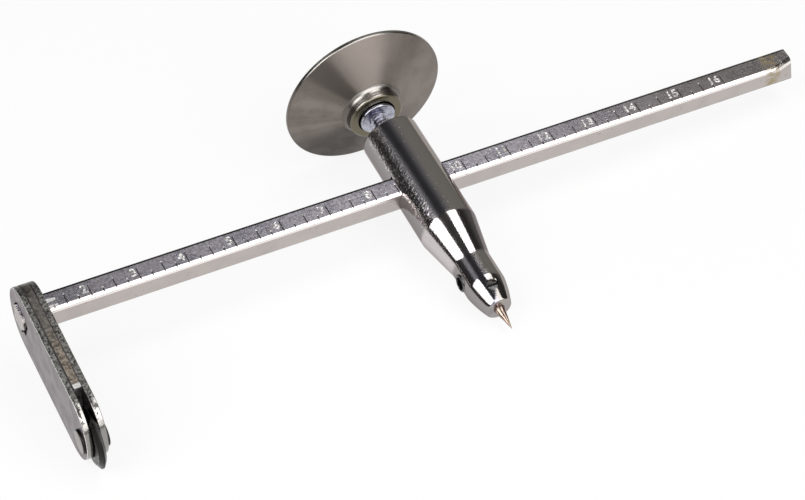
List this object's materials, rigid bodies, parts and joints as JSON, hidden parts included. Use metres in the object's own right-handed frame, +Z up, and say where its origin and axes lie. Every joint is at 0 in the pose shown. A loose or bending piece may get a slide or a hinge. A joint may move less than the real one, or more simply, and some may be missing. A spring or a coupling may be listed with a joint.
{
  "type": "circle cutter",
  "caption": "Beam-type circle cutter: a scale beam slides in a pointed body, an arm on it holds a cutting wheel, and a palm disc turns the clamp screw.",
  "frame": {"origin": "on the floor, under the middle of the tool's box as it lies at rest on its side", "axes": "+X along the beam away from the arm, +Y from the centre point towards the palm disc, +Z up from the floor, the scale facing up"},
  "size_m": [0.2176, 0.0876, 0.0427],
  "materials": {
    "plated_body": "dark bright plating over turned steel",
    "beam_steel": "plated square bar, brushed along its length, stamped scale",
    "arm_steel": "satin plated sheet steel with dark cut edges",
    "spacer_steel": "plain sheet steel with brown cut edges",
    "rivet_steel": "satin plated heads",
    "wheel_steel": "hardened steel, black finish",
    "disc_steel": "satin turned steel",
    "zinc_fastener": "bright zinc plating, slightly blue",
    "point_steel": "ground tool steel, straw coloured by heat",
    "socket_screw_steel": "blackened alloy steel",
    "shoe_brass": "plain turned brass"
  },
  "bodies": {
    "handle": {"handle_body": "plated_body", "centre_point": "point_steel", "point_set_screw": "socket_screw_steel", "point_grub_screw": "socket_screw_steel"},
    "beam": {"scale_beam": "beam_steel", "arm_outer_plate": "arm_steel", "arm_spacer": "spacer_steel", "arm_inner_plate": "arm_steel", "wheel_axle": "rivet_steel"},
    "wheel": {"cutter_wheel": "wheel_steel"},
    "shoe": {"clamp_shoe": "shoe_brass"},
    "knob": {"palm_disc": "disc_steel", "clamp_screw": "zinc_fastener", "lock_washer": "zinc_fastener", "lock_nut": "zinc_fastener"}
  },
  "joints": [
    {"name": "beam_slide", "type": "slide", "parent": "handle", "child": "beam", "axis": [0.9995, 0, -0.0331], "range_m": [-0.1, 0.094]},
    {"name": "wheel_spin", "type": "hinge", "parent": "beam", "child": "wheel", "pos_m": [-0.10531, -0.03348, 0.00784], "axis": [0.9995, 0, -0.0331], "continuous": true},
    {"name": "clamp_lift", "type": "slide", "parent": "handle", "child": "shoe", "axis": [0.0076, 0.9732, 0.2297], "range_m": [0, 0.0032]},
    {"name": "clamp_turn", "type": "hinge", "parent": "shoe", "child": "knob", "pos_m": [-0.00065, -0.0438, 0.00194], "axis": [0.0076, 0.9732, 0.2297], "range_deg": [0, 1080]}
  ],
  "couplings": [
    {"joint": "clamp_lift", "follows": "clamp_turn", "m_per_rad": 0.00016839}
  ]
}
